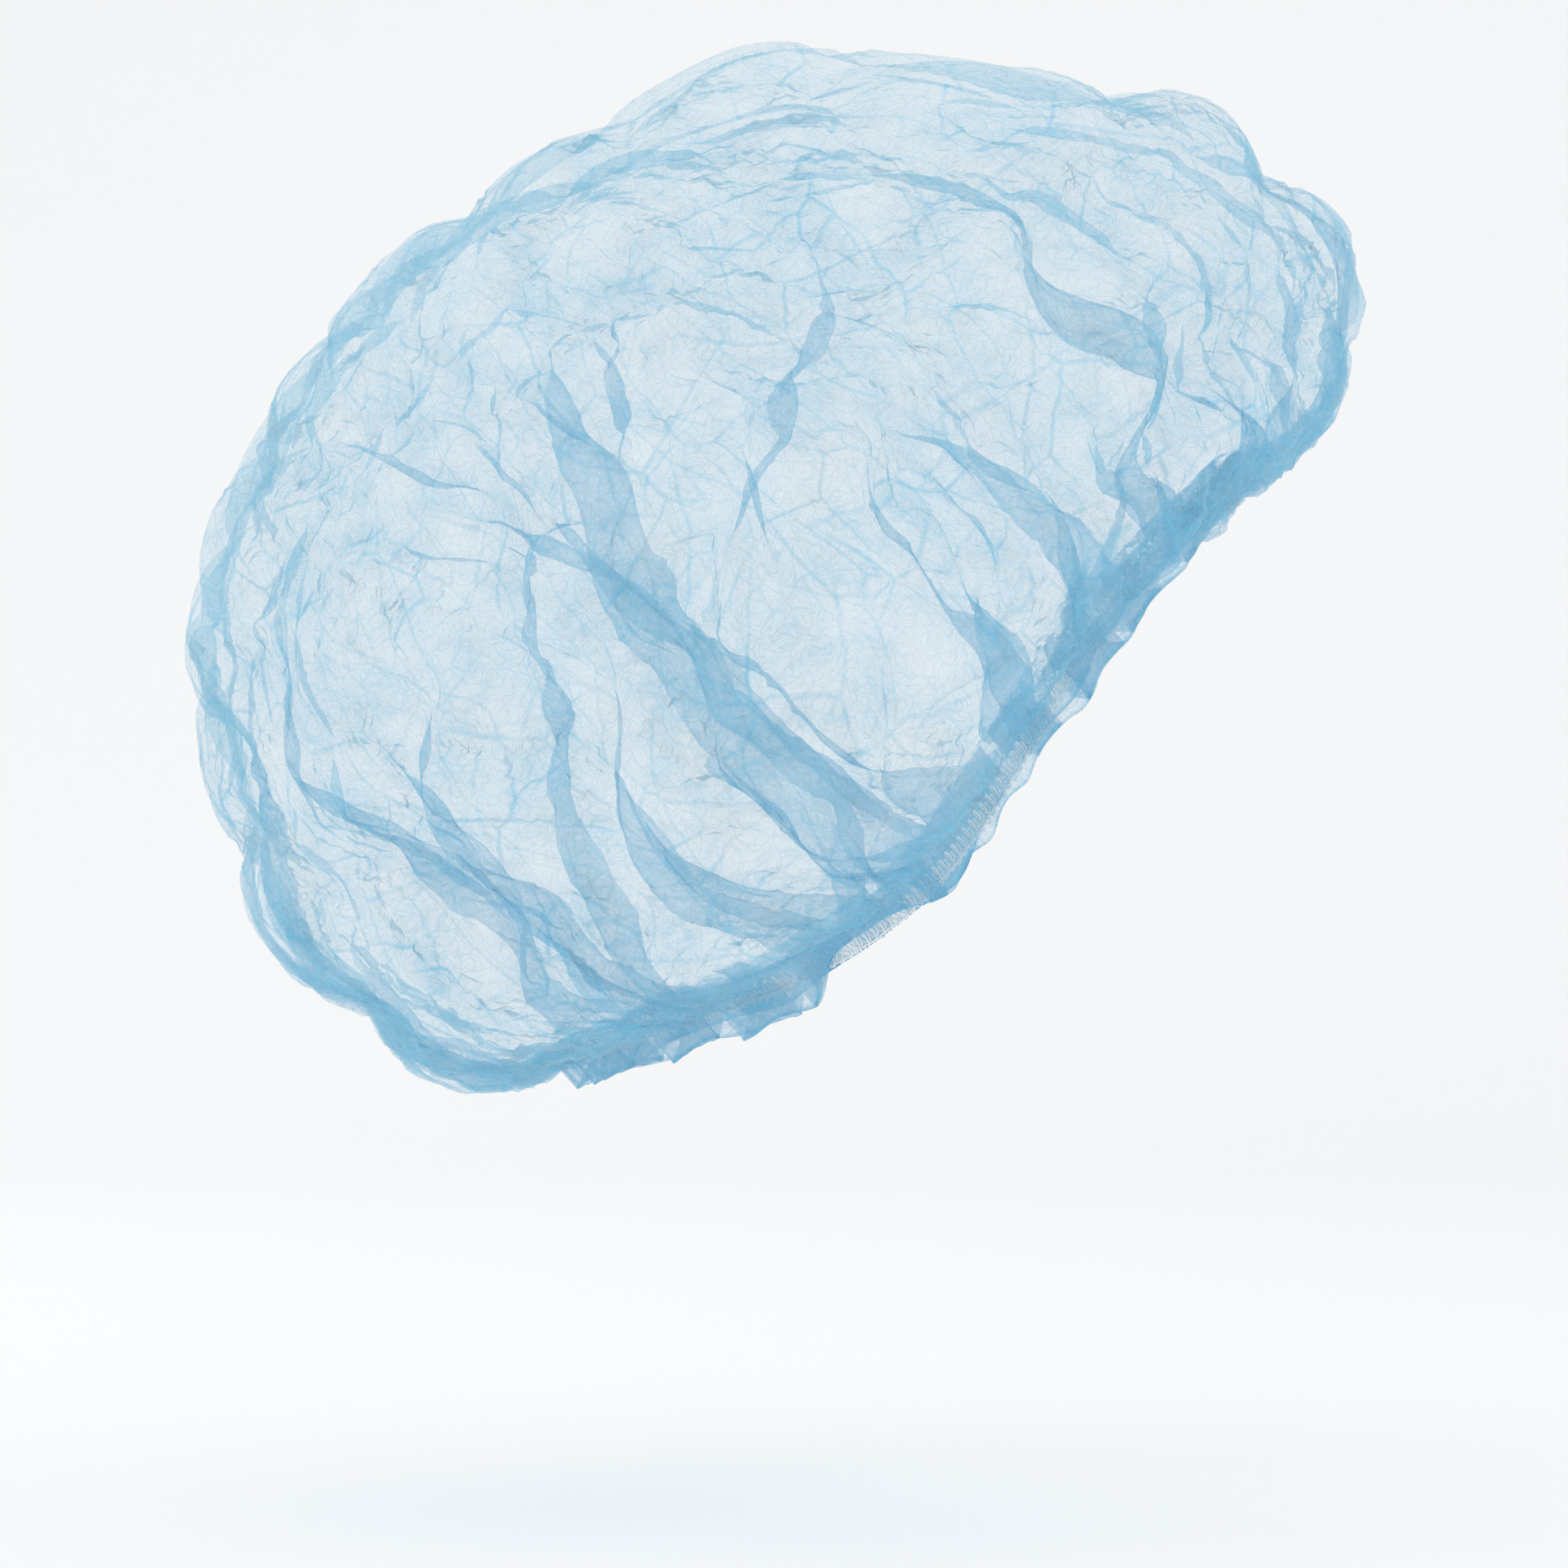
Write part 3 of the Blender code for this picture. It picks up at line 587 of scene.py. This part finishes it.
def relax(cloth, points, creases, crease_width, rounds, evening, drag, spare, kept, bending):
    """Draw every thread back to its cut length inside the worn shell, and return the points.

    evening draws neighbours together, drag is the share of the last step that goes on, spare is
    the room to both sides of the shell, kept is the share of a fold's extra length that stays in
    it, and bending is how stiffly the cloth lies flat."""
    threads, bends = cloth.threads, cloth.bends
    middles = (cloth.flat[bends[:, 0]] + cloth.flat[bends[:, 1]]) / 2
    crease_at_bend, _ = crease_depth(middles, creases, crease_width * 0.65)
    crease_at_point, side = crease_depth(cloth.flat, creases, crease_width)
    cut = cloth.rest(threads)
    worn = np.linalg.norm(points[threads[:, 0]] - points[threads[:, 1]], axis=1)
    cut = cut + kept * np.clip(worn - cut, 0, 1.1 * cut)
    # Where the cloth lies calm, only gathers and laid folds hold slack.
    smooth = np.linalg.norm(cloth.smooth[threads[:, 0]] - cloth.smooth[threads[:, 1]], axis=1)
    calm = cloth.calm[threads].mean(1)
    cut = cut - calm * np.clip(cut - np.maximum(1.03 * smooth, worn), 0, None)
    points = (points + (0.25 * crease_width * side)[:, None] * cloth.normal).astype(np.float32)
    count = len(points)
    rest = np.concatenate([cut, cloth.rest(bends) * (1 - 0.45 * crease_at_bend)])
    stiff = np.concatenate([np.ones(len(threads)), bending * (1 + 1.5 * (crease_at_bend > 0.15))])
    is_thread = np.concatenate([np.ones(len(threads)), np.zeros(len(bends))])
    partners, (rest, stiff, is_thread) = neighbour_table(
        np.concatenate([threads, bends]), (rest, stiff, is_thread), count)
    # Each end of a thread takes half of its error, and 1.6 times that settles sooner.
    weight = 1.6 * 0.5 / np.maximum(stiff.sum(1), 1e-6)
    even = (evening * (1 - crease_at_point)).astype(np.float32) / np.maximum(is_thread.sum(1), 1)
    fade = np.clip(1 - cloth.climb / 0.6, 0, 1)
    room = 1 - 0.65 * cloth.calm
    low = np.where(cloth.climb < 0.02, 0.0005, (-spare - 0.003 * fade) * room).astype(np.float32)
    high = (spare + 0.006 * np.clip(1 - cloth.climb / 0.5, 0, 1)) * (1 - 0.6 * cloth.pinch) * room
    high = high.astype(np.float32)
    normal = cloth.normal.astype(np.float32)
    base = cloth.base.astype(np.float32)
    seated = np.flatnonzero(cloth.share * CUT_RADIUS < SEATED_WIDTH)
    seat = cloth.gathered[seated].astype(np.float32)
    before = points.copy()
    for _ in range(rounds):
        points, before = points + drag * (points - before), points
        away = [points[:, axis, None] - points[:, axis][partners] for axis in range(3)]
        length = np.sqrt(away[0] ** 2 + away[1] ** 2 + away[2] ** 2) + np.float32(1e-9)
        push = stiff * (rest / length - 1)
        for axis in range(3):
            points[:, axis] += (push * away[axis]).sum(1) * weight
            points[:, axis] -= (is_thread * away[axis]).sum(1) * even
        out = ((points - base) * normal).sum(1)
        points += 0.5 * (np.clip(out, low, high) - out)[:, None] * normal
        points[seated] = seat
    return points.astype(float)


def drape_crown():
    """The crown's cloth in its worn form: a coarse round first, then a finer one."""
    rng = np.random.default_rng(7)
    seeds = facet_seeds(rng)
    coarse = Round(COARSE_RINGS, seeds)
    creases = crease_lines(rng, *LARGE_CREASES)
    laid = fold_over(coarse.smooth, coarse.normal, FOLDS)
    points = relax(coarse, coarse.gathered + laid, creases, crease_width=0.004, rounds=120,
                   evening=0.010, drag=0.5, spare=0.004, kept=1.0, bending=0.10)
    fine = Round(FINE_RINGS, seeds)
    points = finer(COARSE_RINGS, points)
    small = crease_lines(rng, *SMALL_CREASES)
    creases = tuple(np.concatenate(pair) for pair in zip(creases, small))
    taken = finer(COARSE_RINGS, np.linalg.norm(laid, axis=1)[:, None])
    free = np.clip(1 - taken / 0.008, 0, 1) * ease(np.abs(fine.normal @ SIDEWARD), 0.10, 0.45)[:, None]
    points = points + free * fold_over(points, fine.normal, small_folds(rng))
    points = relax(fine, points, creases, crease_width=0.0022, rounds=130,
                   evening=0.012, drag=0.4, spare=0.0045, kept=0.75, bending=0.22)
    comb_out(fine, points)
    return fine, points


def make_piece(name, points, faces, uv=None, values=None):
    mesh = bpy.data.meshes.new(name)
    mesh.from_pydata(points.tolist(), [], faces.tolist())
    mesh.polygons.foreach_set("use_smooth", np.ones(len(faces), bool))
    if uv is not None:
        layer = mesh.uv_layers.new(name="cut")
        layer.data.foreach_set("uv", uv[faces.ravel()].astype(np.float32).ravel())
    for key, value in (values or {}).items():
        mesh.attributes.new(key, "FLOAT", "POINT").data.foreach_set("value", value.astype(np.float32))
    mesh.update()
    piece = bpy.data.objects.new(name, mesh)
    bpy.context.scene.collection.objects.link(piece)
    return piece


def crease_sharpness(points, faces, threads):
    """How sharply the worn cloth bends at each point, from 0 to 1."""
    sides = np.cross(points[faces[:, 1]] - points[faces[:, 0]], points[faces[:, 2]] - points[faces[:, 0]])
    normal = np.zeros_like(points)
    for corner in range(3):
        for axis in range(3):
            normal[:, axis] += np.bincount(faces[:, corner], weights=sides[:, axis], minlength=len(points))
    normal = unit(normal)
    turned = 1 - (normal[threads[:, 0]] * normal[threads[:, 1]]).sum(1)
    ends = threads.T.ravel()
    total = np.bincount(ends, weights=np.tile(turned, 2), minlength=len(points))
    return np.clip(total / np.bincount(ends, minlength=len(points)) * 4, 0, 1)


def comb_out(cloth, points):
    """Even out the few places where folds that cross have tangled."""
    ends = np.concatenate([cloth.threads, cloth.threads[:, ::-1]])
    held = np.bincount(ends[:, 0], minlength=len(points))
    for _ in range(5):
        tangled = crease_sharpness(points, cloth.faces, cloth.threads) > 0.8
        for axis in range(3):
            around = np.bincount(ends[:, 0], weights=points[ends[:, 1], axis], minlength=len(points)) / held
            points[tangled, axis] = around[tangled]


def make_crown(cloth, points):
    sharp = crease_sharpness(points, cloth.faces, cloth.threads)
    kept = ring_start(CROWN_RINGS + 1)
    faces = cloth.faces[(cloth.faces < kept).all(1)]
    return make_piece("crown_of_cloth", points[:kept], faces, cloth.flat[:kept], {"crease": sharp[:kept]})


def make_hem(cloth, points):
    """The gathered edge: an outer leg down from the crown, the fold, and the leg turned inside."""
    row = points[ring_start(CROWN_RINGS):ring_start(CROWN_RINGS + 1)]
    columns = len(row) * HEM_COLUMNS_PER_THREAD
    place = np.arange(columns) / HEM_COLUMNS_PER_THREAD
    first = place.astype(int) % len(row)
    part = (place % 1)[:, None]
    top = row[first] * (1 - part) + row[(first + 1) % len(row)] * part
    turn = np.arange(columns) * math.tau / columns
    deep = CUT_RADIUS * (1 - CROWN_RINGS / FINE_RINGS)
    ways = np.r_[np.linspace(0, deep - 0.001, 9), deep - 0.0004, deep, deep + 0.0004]
    ways = np.r_[ways, np.linspace(deep + 0.001, deep + HEM_TURN, 9)]
    wave = puckers(turn)
    rows, flats = [], []
    for way in ways:
        inside = way > deep
        from_edge = abs(way - deep)
        climb = climb_at(np.full(columns, from_edge / CUT_RADIUS))
        moved, rise = gather_shift(turn, climb)
        out = rise + wave
        if inside:
            # The turned leg lies up to 3.6 mm further in, behind the elastic.
            tuck = ease(from_edge, 0.0, 0.0025) * (0.0036 - 0.0012 * ease(from_edge, 0.008, 0.012))
            out = rise * (1 - 0.55 * ease(from_edge, 0.0, 0.004)) + wave - tuck
        lift = edge_lift(moved, np.full(columns, from_edge / CUT_RADIUS))
        seat = shell(moved, climb) + lift[:, None] * UPWARD + out[:, None] * facing(moved, climb)
        blend = 1.0 if inside else float(ease(way, 0.0, 0.0055))
        rows.append(seat * blend + (top - (way * 0.9) * UPWARD * (1 - blend)) * (1 - blend))
        reach = CUT_RADIUS * CROWN_RINGS / FINE_RINGS + way
        flats.append(np.stack([np.cos(turn), np.sin(turn)], 1) * reach)
    grid = np.arange(len(ways) * columns).reshape(len(ways), columns)
    a, b = grid[:-1], grid[1:]
    faces = np.stack([a, b, np.roll(b, -1, 1), np.roll(a, -1, 1)], -1).reshape(-1, 4)
    crease = np.concatenate([np.full(columns, float(abs(way - deep) < 0.0006)) for way in ways])
    return make_piece("hem_of_cloth", np.concatenate(rows), faces, np.concatenate(flats), {"crease": crease})


def make_elastic():
    """Two yarns crocheted in loops across the band, with a straight rubber core thread."""
    phase = np.arange(ELASTIC_LOOPS * LOOP_STEPS) / LOOP_STEPS * math.tau
    tubes = []
    for shift, wide, lap, thick in ((0.0, 1.0, 2.1, 0.00021), (math.pi * 0.95, 0.55, 1.5, 0.00017)):
        sway = phase + shift
        turn = (phase + lap * np.cos(sway)) / ELASTIC_LOOPS
        uneven = 1 + 0.06 * np.sin(phase * 0.375 + shift) + 0.05 * np.sin(phase * 0.125)
        height = ELASTIC_LOW + ELASTIC_WIDTH * (0.5 + 0.43 * wide * uneven * np.sin(sway))
        inset = ELASTIC_INSET + 0.00034 * np.cos(sway + 0.6)
        tubes.append((ring(turn, inset, height), thick))
    turn = np.linspace(0, math.tau, CORE_STEPS, endpoint=False)
    weave = 0.00012 * np.sin(60 * turn)
    core = ring(turn, np.full(CORE_STEPS, ELASTIC_INSET), ELASTIC_LOW + ELASTIC_WIDTH * 0.2 + weave)
    tubes.append((core, 0.00022))
    points, faces = [], []
    count = 0
    for line, thick in tubes:
        way = unit(np.roll(line, -1, 0) - np.roll(line, 1, 0))
        side = unit(np.cross(way, UPWARD + 0.3 * FORWARD))
        up = np.cross(side, way)
        for s in range(YARN_SIDES):
            angle = s * math.tau / YARN_SIDES
            points.append(line + thick * (math.cos(angle) * side + math.sin(angle) * up))
        n = len(line)
        grid = count + np.arange(YARN_SIDES * n).reshape(YARN_SIDES, n)
        a, b = grid, np.roll(grid, -1, 0)
        faces.append(np.stack([a, np.roll(a, -1, 1), np.roll(b, -1, 1), b], -1).reshape(-1, 4))
        count += YARN_SIDES * n
    return make_piece("looped_elastic", np.concatenate(points), np.concatenate(faces))


def colour(hex_value):
    """An sRGB hex colour as the linear colour that a shader takes."""
    parts = [int(hex_value[i:i + 2], 16) / 255 for i in (1, 3, 5)]
    return tuple(p / 12.92 if p <= 0.04045 else ((p + 0.055) / 1.055) ** 2.4 for p in parts) + (1.0,)


def add(tree, kind, settings=None, links=None):
    """Add one node. Settings in lower case are its own properties, the others its inputs."""
    node = tree.nodes.new(kind)
    for key, value in (settings or {}).items():
        if isinstance(key, str) and key[0].islower():
            setattr(node, key, value)
        else:
            node.inputs[key].default_value = value
    for key, source in (links or {}).items():
        tree.links.new(source, node.inputs[key])
    return node


def new_material(name):
    material = bpy.data.materials.new(name)
    material.use_nodes = True
    material.node_tree.nodes.clear()
    return material, material.node_tree


def spunbond_polypropylene(name, cover, haze):
    """Spunbond polypropylene, 14 g/m2: endless extruded filaments laid down in curls and bonded
    with heat. The eye sees a pale blue haze crossed by loops of fibre, denser where the web is
    doubled or creased, with a soft silky sheen and no gloss."""
    material, tree = new_material(name)
    uv = add(tree, "ShaderNodeUVMap", {"uv_map": "cut"})
    mm = add(tree, "ShaderNodeVectorMath", {"operation": "SCALE", "Scale": 1000.0}, {0: uv.outputs["UV"]})
    # Filaments are 0.02 mm thick and can't show, so each line drawn stands for a bundle, 0.4 mm wide.
    curl = add(tree, "ShaderNodeTexNoise", {"noise_dimensions": "2D", "Scale": 0.2, "Detail": 0.0},
               {"Vector": mm.outputs[0]})
    centred = add(tree, "ShaderNodeVectorMath", {"operation": "SUBTRACT", 1: (0.5, 0.5, 0.5)},
                  {0: curl.outputs["Color"]})
    bent = add(tree, "ShaderNodeVectorMath", {"operation": "MULTIPLY_ADD", 1: (6.0, 6.0, 6.0)},
               {0: centred.outputs[0], 2: mm.outputs[0]})
    web = add(tree, "ShaderNodeTexVoronoi",
              {"voronoi_dimensions": "2D", "feature": "DISTANCE_TO_EDGE", "Scale": 1 / 3.6},
              {"Vector": bent.outputs[0]})
    bundles = add(tree, "ShaderNodeMapRange", {"From Min": 0.30 / 3.6, "From Max": 0.10 / 3.6},
                  {"Value": web.outputs["Distance"]})
    # Long loops between them: level lines of a slow noise with swells 4 mm across.
    slow = add(tree, "ShaderNodeTexNoise",
               {"noise_dimensions": "2D", "Scale": 0.24, "Detail": 0.0},
               {"Vector": bent.outputs[0]})
    levels = add(tree, "ShaderNodeMath", {"operation": "MULTIPLY", 1: 10.0}, {0: slow.outputs[0]})
    waves = add(tree, "ShaderNodeMath", {"operation": "PINGPONG", 1: 0.5}, {0: levels.outputs[0]})
    loops = add(tree, "ShaderNodeMapRange", {"From Min": 0.12, "From Max": 0.04},
                {"Value": waves.outputs[0]})
    fibres = add(tree, "ShaderNodeMath", {"operation": "MAXIMUM"},
                 {0: bundles.outputs[0], 1: loops.outputs[0]})
    # The web is laid down unevenly, in clouds of 4 to 17 mm.
    cloud = add(tree, "ShaderNodeTexNoise", {"noise_dimensions": "2D", "Scale": 0.06, "Detail": 2.5},
                {"Vector": mm.outputs[0]})
    thicker = add(tree, "ShaderNodeMapRange",
                  {"From Min": 0.3, "From Max": 0.7, "To Min": 0.72, "To Max": 1.25},
                  {"Value": cloud.outputs[0]})
    # Sharp crumple lines between flat facets of 26 mm, broken up so that few of them close.
    facet = add(tree, "ShaderNodeTexVoronoi",
                {"voronoi_dimensions": "2D", "feature": "DISTANCE_TO_EDGE", "Scale": 1 / 26.0},
                {"Vector": mm.outputs[0]})
    ridge = add(tree, "ShaderNodeMapRange", {"From Min": 0.026, "From Max": 0.0},
                {"Value": facet.outputs["Distance"]})
    gaps = add(tree, "ShaderNodeTexNoise", {"noise_dimensions": "2D", "Scale": 0.035, "Detail": 1.0},
               {"Vector": mm.outputs[0]})
    shown = add(tree, "ShaderNodeMapRange", {"From Min": 0.48, "From Max": 0.62}, {"Value": gaps.outputs[0]})
    crumple = add(tree, "ShaderNodeMath", {"operation": "MULTIPLY"},
                  {0: ridge.outputs[0], 1: shown.outputs[0]})
    # Fine pull lines that run mostly from the cut's middle to the gathers, 50 mm long.
    polar = add(tree, "ShaderNodeVectorMath", {"operation": "LENGTH"}, {0: mm.outputs[0]})
    axes = add(tree, "ShaderNodeSeparateXYZ", None, {0: mm.outputs[0]})
    round_way = add(tree, "ShaderNodeMath", {"operation": "ARCTAN2"},
                    {0: axes.outputs[1], 1: axes.outputs[0]})
    reach = add(tree, "ShaderNodeMath", {"operation": "MULTIPLY", 1: 1 / 50}, {0: polar.outputs["Value"]})
    slices = add(tree, "ShaderNodeMath", {"operation": "MULTIPLY", 1: 9.0}, {0: round_way.outputs[0]})
    pulled = add(tree, "ShaderNodeCombineXYZ", None, {0: reach.outputs[0], 1: slices.outputs[0]})
    strips = add(tree, "ShaderNodeTexVoronoi", {"voronoi_dimensions": "2D", "feature": "DISTANCE_TO_EDGE",
                                                "Scale": 1.0}, {"Vector": pulled.outputs[0]})
    pull = add(tree, "ShaderNodeMapRange", {"From Min": 0.022, "From Max": 0.0, "To Max": 0.6},
               {"Value": strips.outputs["Distance"]})
    lines = add(tree, "ShaderNodeMath", {"operation": "MAXIMUM"},
                {0: crumple.outputs[0], 1: pull.outputs[0]})
    # Haze of the fibres too fine to draw, thicker at a crease.
    bend = add(tree, "ShaderNodeAttribute", {"attribute_name": "crease"})
    hazy = add(tree, "ShaderNodeMath", {"operation": "MULTIPLY_ADD", 1: 0.17, 2: haze},
               {0: bend.outputs["Fac"]})
    folded = add(tree, "ShaderNodeMath", {"operation": "MULTIPLY_ADD", 1: 0.3},
                 {0: lines.outputs[0], 2: hazy.outputs[0]})
    web_cover = add(tree, "ShaderNodeMath", {"operation": "MULTIPLY", 1: cover}, {0: fibres.outputs[0]})
    laid = add(tree, "ShaderNodeMath", {"operation": "ADD"}, {0: web_cover.outputs[0], 1: folded.outputs[0]})
    density = add(tree, "ShaderNodeMath", {"operation": "MULTIPLY", "use_clamp": True},
                  {0: laid.outputs[0], 1: thicker.outputs[0]})
    depth = add(tree, "ShaderNodeMapRange", {"From Min": 0.2, "From Max": 0.5},
                {"Value": density.outputs[0]})
    tint = add(tree, "ShaderNodeMix",
               {"data_type": "RGBA", 6: colour("#A0CFE4"), 7: colour("#7CCAE6")},
               {0: depth.outputs[0]})
    # The tooth of the fibre mat, 0.8 mm from crest to crest.
    tooth = add(tree, "ShaderNodeTexNoise", {"noise_dimensions": "2D", "Scale": 1.2, "Detail": 1.0},
                {"Vector": mm.outputs[0]})
    bump = add(tree, "ShaderNodeBump", {"Strength": 0.4, "Distance": 0.0003}, {"Height": tooth.outputs[0]})
    # Polypropylene: IOR 1.49, matt where the filaments scatter the light.
    front = add(tree, "ShaderNodeBsdfPrincipled",
                {"Roughness": 0.52, "IOR": 1.49, "Sheen Weight": 0.25, "Sheen Roughness": 0.4},
                {"Base Color": tint.outputs[2], "Normal": bump.outputs[0]})
    through = add(tree, "ShaderNodeBsdfTranslucent", None,
                  {"Color": tint.outputs[2], "Normal": bump.outputs[0]})
    lit = add(tree, "ShaderNodeMixShader", {0: 0.42}, {1: front.outputs[0], 2: through.outputs[0]})
    open_web = add(tree, "ShaderNodeBsdfTransparent")
    web_mix = add(tree, "ShaderNodeMixShader", None,
                  {0: density.outputs[0], 1: open_web.outputs[0], 2: lit.outputs[0]})
    # A lamp's light passes the web as one even tint, because its fine pattern leaves no shadow.
    ray = add(tree, "ShaderNodeLightPath")
    tinted = add(tree, "ShaderNodeBsdfTransparent", {"Color": colour("#E0EDF4")})
    shade = add(tree, "ShaderNodeMixShader", None,
                {0: ray.outputs["Is Shadow Ray"], 1: web_mix.outputs[0], 2: tinted.outputs[0]})
    add(tree, "ShaderNodeOutputMaterial", None, {"Surface": shade.outputs[0]})
    return material


def covered_rubber_yarn(name):
    """Textured polyester yarn wound round rubber and crocheted in loops: white, soft and matt,
    with the yarn's twist as fine slanting strands."""
    material, tree = new_material(name)
    place = add(tree, "ShaderNodeTexCoord")
    mm = add(tree, "ShaderNodeVectorMath", {"operation": "SCALE", "Scale": 1000.0},
             {0: place.outputs["Object"]})
    # Strands of 0.1 mm are drawn 0.35 mm wide, so that they show.
    strands = add(tree, "ShaderNodeTexNoise", {"Scale": 2.8, "Detail": 2.0}, {"Vector": mm.outputs[0]})
    tone = add(tree, "ShaderNodeTexNoise", {"Scale": 0.08, "Detail": 1.0}, {"Vector": mm.outputs[0]})
    mixed = add(tree, "ShaderNodeMath", {"operation": "MULTIPLY"},
                {0: strands.outputs[0], 1: tone.outputs[0]})
    shade = add(tree, "ShaderNodeMapRange", {"From Min": 0.12, "From Max": 0.4}, {"Value": mixed.outputs[0]})
    tint = add(tree, "ShaderNodeMix", {"data_type": "RGBA", 6: colour("#DDE4EA"), 7: colour("#F6F8FA")},
               {0: shade.outputs[0]})
    bump = add(tree, "ShaderNodeBump", {"Strength": 0.5, "Distance": 0.0002}, {"Height": strands.outputs[0]})
    yarn = add(tree, "ShaderNodeBsdfPrincipled",
               {"Roughness": 0.75, "IOR": 1.54, "Sheen Weight": 0.3, "Sheen Roughness": 0.5},
               {"Base Color": tint.outputs[2], "Normal": bump.outputs[0]})
    add(tree, "ShaderNodeOutputMaterial", None, {"Surface": yarn.outputs[0]})
    return material


def matt_white_paper(name):
    """Seamless backdrop paper: white, matt, with a faint tooth."""
    material, tree = new_material(name)
    place = add(tree, "ShaderNodeTexCoord")
    tooth = add(tree, "ShaderNodeTexNoise", {"Scale": 900.0, "Detail": 2.0},
                {"Vector": place.outputs["Object"]})
    tint = add(tree, "ShaderNodeMix", {"data_type": "RGBA", 6: colour("#F4F5F6"), 7: colour("#F8F9FA")},
               {0: tooth.outputs[0]})
    paper = add(tree, "ShaderNodeBsdfPrincipled", {"Roughness": 0.9, "IOR": 1.5, "Specular IOR Level": 0.2},
                {"Base Color": tint.outputs[2]})
    add(tree, "ShaderNodeOutputMaterial", None, {"Surface": paper.outputs[0]})
    return material


def make_backdrop():
    """A sheet of paper on the floor that curves up behind."""
    bend = 0.9
    depth = np.r_[np.linspace(-6, 1.4, 12), 1.4 + bend * np.sin(np.linspace(0.13, math.pi / 2, 12)), 2.3]
    rise = np.r_[np.zeros(12), bend * (1 - np.cos(np.linspace(0.13, math.pi / 2, 12))), 6.0]
    across = np.linspace(-7, 7, 3)
    points = np.array([(x, y, FLOOR_DROP + z) for y, z in zip(depth, rise) for x in across])
    grid = np.arange(len(points)).reshape(len(depth), len(across))
    faces = np.stack([grid[:-1, :-1], grid[:-1, 1:], grid[1:, 1:], grid[1:, :-1]], -1).reshape(-1, 4)
    return make_piece("backdrop_paper", points, faces)


def soft_light(name, place, target, size, power):
    light = bpy.data.lights.new(name, "AREA")
    light.shape = "DISK"
    light.size = size
    light.energy = power
    lamp = bpy.data.objects.new(name, light)
    way = np.array(target, float) - np.array(place, float)
    flat = math.hypot(way[0], way[1])
    lamp.location = place
    lamp.rotation_euler = (math.pi / 2 + math.atan2(way[2], flat), 0, math.atan2(-way[0], way[1]))
    bpy.context.scene.collection.objects.link(lamp)


def light_studio():
    scene = bpy.context.scene
    world = bpy.data.worlds.new("soft_white_room")
    world.use_nodes = True
    background = world.node_tree.nodes["Background"]
    background.inputs["Color"].default_value = colour("#FFFFFF")
    background.inputs["Strength"].default_value = 0.93
    scene.world = world
    middle = (-0.03, 0.0, 0.04)
    soft_light("large_soft_light_above", (-0.5, -0.9, 1.8), middle, 1.6, 4.5)
    soft_light("side_soft_light", (1.6, -1.1, 0.5), middle, 0.9, 4)
    soft_light("rim_soft_light", (-1.2, 1.0, 0.9), middle, 0.8, 3)
    scene.view_settings.view_transform = "Standard"
    scene.cycles.transparent_max_bounces = 48
    scene.cycles.max_bounces = 6
    scene.cycles.diffuse_bounces = 3


def place_camera():
    """The camera of the photograph: level with the cap and square to its side."""
    camera = bpy.data.cameras.new("camera")
    camera.sensor_width = SENSOR_WIDTH
    camera.lens = SENSOR_WIDTH * CAMERA_AWAY / FRAME_WIDTH
    camera.clip_end = 30
    rig = bpy.data.objects.new("camera", camera)
    rig.location = (-0.0278, -CAMERA_AWAY, -0.0019)
    rig.rotation_euler = (math.pi / 2, 0, 0)
    bpy.context.scene.collection.objects.link(rig)
    bpy.context.scene.camera = rig


place_camera()
light_studio()
backdrop = make_backdrop()
backdrop.data.materials.append(matt_white_paper("matt_white_paper"))

cloth, worn = drape_crown()
crown = make_crown(cloth, worn)
hem = make_hem(cloth, worn)
elastic = make_elastic()

crown.data.materials.append(spunbond_polypropylene("spunbond_polypropylene_crown", 0.12, 0.172))
hem.data.materials.append(spunbond_polypropylene("spunbond_polypropylene_hem", 0.14, 0.22))
elastic.data.materials.append(covered_rubber_yarn("covered_rubber_yarn_white"))

for piece, node in ((crown, "crown_cloth"), (hem, "turned_hem"), (elastic, "elastic_band")):
    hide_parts(node)
    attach(piece, "root")
